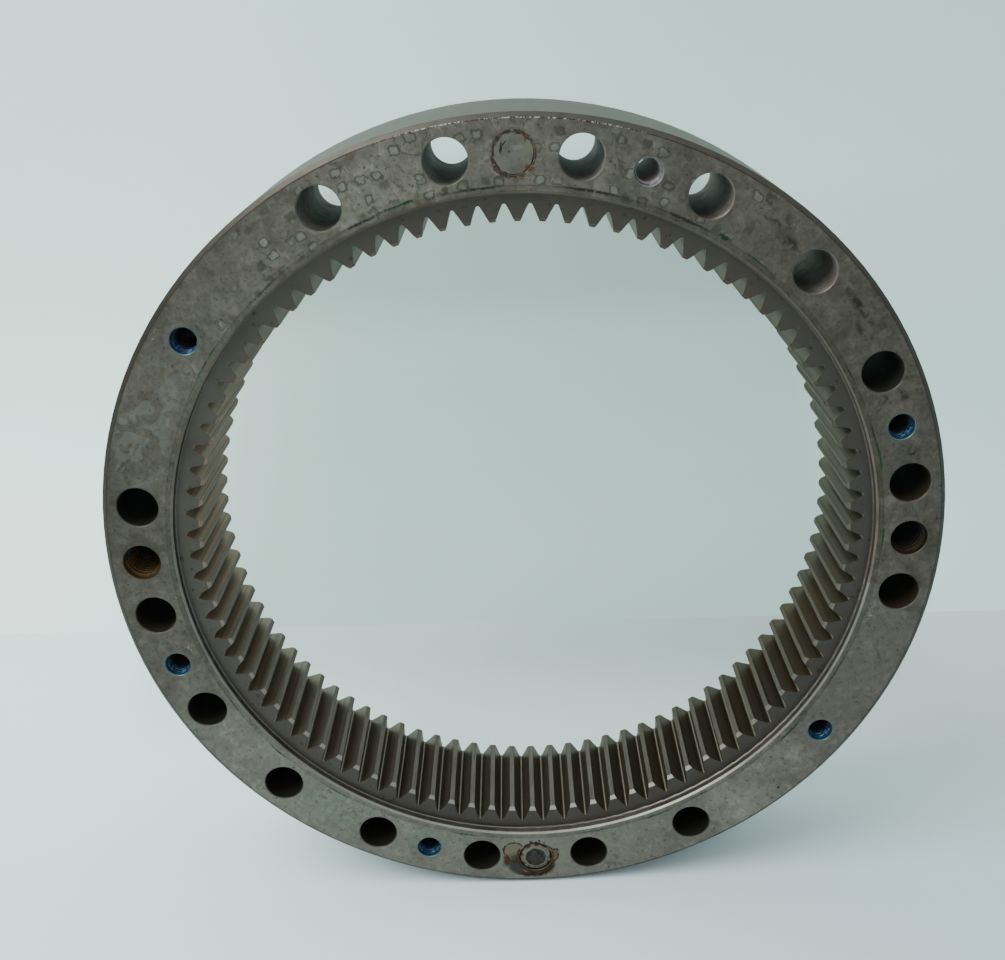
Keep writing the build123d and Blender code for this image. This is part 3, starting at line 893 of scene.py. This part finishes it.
def board_finish():
    """Pale, with painted shade towards the right, bluer in front, and painted shade behind the ring."""
    pale, right_tint, front_tint, shade_tint = (
        (0.885, 0.99, 0.98), (0.62, 0.62, 0.63), (0.87, 0.89, 0.98), (0.59, 0.615, 0.62))

    finish = Finish("pale_board", pale, 0.55)
    finish.tint(CLOUD_TINT, finish.fade(finish.noise(0.004, 4.0, seed=96), 0.35, 0.65))
    # painted shade towards the right
    finish.tint(right_tint, finish.fade(finish.x, -300, 420))
    finish.tint(front_tint, finish.fade(finish.y, 160, -60))
    across = finish.fade(finish.math("ABSOLUTE", finish.x), 360, 230)
    finish.tint(shade_tint, finish.both(across, finish.fade(finish.y, 80, 260)))
    return finish.done()


def add_cove():
    """A floor that sweeps up into a backdrop, far enough behind for the back to be seen too."""
    profile = [(-STAGE_REACH, 0.0), (COVE_START, 0.0)]
    for step in range(1, COVE_STEPS + 1):
        turn = pi / 2 * step / COVE_STEPS
        profile.append((COVE_START + COVE_RADIUS * sin(turn), COVE_RADIUS * (1 - cos(turn))))
    profile.append((COVE_START + COVE_RADIUS, COVE_TOP))
    base = FLOOR_Z - BOARD_THICKNESS
    points = [(side * STAGE_REACH, y, base + z) for y, z in profile for side in (-1, 1)]
    faces = [(i, i + 1, i + 3, i + 2) for i in range(0, len(points) - 2, 2)]
    cove = mesh_object("floor_and_backdrop", points, faces, smooth=True)
    cove.data.materials.append(backdrop_finish())


def add_board():
    """The pale sheet that the ring stands on; its rear edge is the faint line behind the ring."""
    low, high = FLOOR_Z - BOARD_THICKNESS, FLOOR_Z
    turn = Matrix.Rotation(radians(BOARD_TURN), 4, "Z")
    corners = [(-BOARD_HALF_WIDTH, BOARD_FRONT), (BOARD_HALF_WIDTH, BOARD_FRONT),
               (BOARD_HALF_WIDTH, BOARD_REAR), (-BOARD_HALF_WIDTH, BOARD_REAR)]
    points = [turn @ Vector((x, y, z)) for z in (low, high) for x, y in corners]
    faces = [(0, 3, 2, 1), (4, 5, 6, 7), (0, 1, 5, 4), (1, 2, 6, 5), (2, 3, 7, 6), (3, 0, 4, 7)]
    board = mesh_object("pale_board", points, faces)
    board.data.materials.append(board_finish())


def add_key_light():
    """One large round lamp, above and to the left, in front of the ring."""
    data = bpy.data.lights.new("key", "AREA")
    data.shape = "DISK"
    data.size, data.energy, data.color = KEY_SIZE, KEY_POWER, KEY_COLOUR
    light = link(bpy.data.objects.new("key", data))
    light.location = KEY_PLACE
    light.rotation_mode = "QUATERNION"
    light.rotation_quaternion = (Vector(KEY_TARGET) - Vector(KEY_PLACE)).to_track_quat("-Z", "Y")


def add_world():
    """A pale room: light from above and behind, lighter on the left, and darker in front."""
    world = bpy.data.worlds.new("studio")
    world.use_nodes = True
    nodes, links = world.node_tree.nodes, world.node_tree.links
    split = nodes.new("ShaderNodeSeparateXYZ")
    links.new(nodes.new("ShaderNodeTexCoord").outputs["Generated"], split.inputs[0])

    def ramp(axis, start, end):
        node = nodes.new("ShaderNodeMapRange")
        node.interpolation_type = "SMOOTHSTEP"
        node.inputs["From Min"].default_value = start
        node.inputs["From Max"].default_value = end
        links.new(split.outputs[axis], node.inputs["Value"])
        return node.outputs[0]

    def mix(mask, first, second):
        node = nodes.new("ShaderNodeMix")
        node.data_type = "RGBA"
        links.new(mask, node.inputs[0])
        for socket, value in ((node.inputs[6], first), (node.inputs[7], second)):
            if isinstance(value, bpy.types.NodeSocket):
                links.new(value, socket)
            else:
                socket.default_value = (*value, 1)
        return node.outputs[2]

    lit = nodes.new("ShaderNodeMath")
    lit.operation = "MAXIMUM"
    links.new(ramp("Y", -0.5, 0.5), lit.inputs[0])
    links.new(ramp("Z", 0.1, 0.75), lit.inputs[1])
    sides = mix(ramp("X", -1, 1), ROOM_LEFT, ROOM_RIGHT)
    background = nodes["Background"]
    links.new(mix(lit.outputs[0], ROOM_FRONT, sides), background.inputs["Color"])
    background.inputs["Strength"].default_value = ROOM_STRENGTH
    bpy.context.scene.world = world


def add_camera():
    """The camera stands rolled about the ring's axis, which shows the ring rolled the other way."""
    data = bpy.data.cameras.new("camera")
    data.lens = CAMERA_LENS_MM
    data.sensor_width = CAMERA_SENSOR_MM
    data.shift_x, data.shift_y = CAMERA_SHIFT
    data.clip_start, data.clip_end = CAMERA_CLIP
    camera = link(bpy.data.objects.new("camera", data))
    aim = CAMERA_AIM.to_track_quat("-Z", "Y").to_matrix().to_4x4()
    stand = Matrix.Translation(Vector((0, FRONT_Y, 0)) + CAMERA_PLACE * HOLE_CIRCLE) @ aim
    camera.matrix_world = Matrix.Rotation(radians(RING_ROLL), 4, "Y") @ stand
    bpy.context.scene.camera = camera


add_camera()
add_world()
add_cove()
add_board()
add_key_light()
dress_nodes()
add_threads()
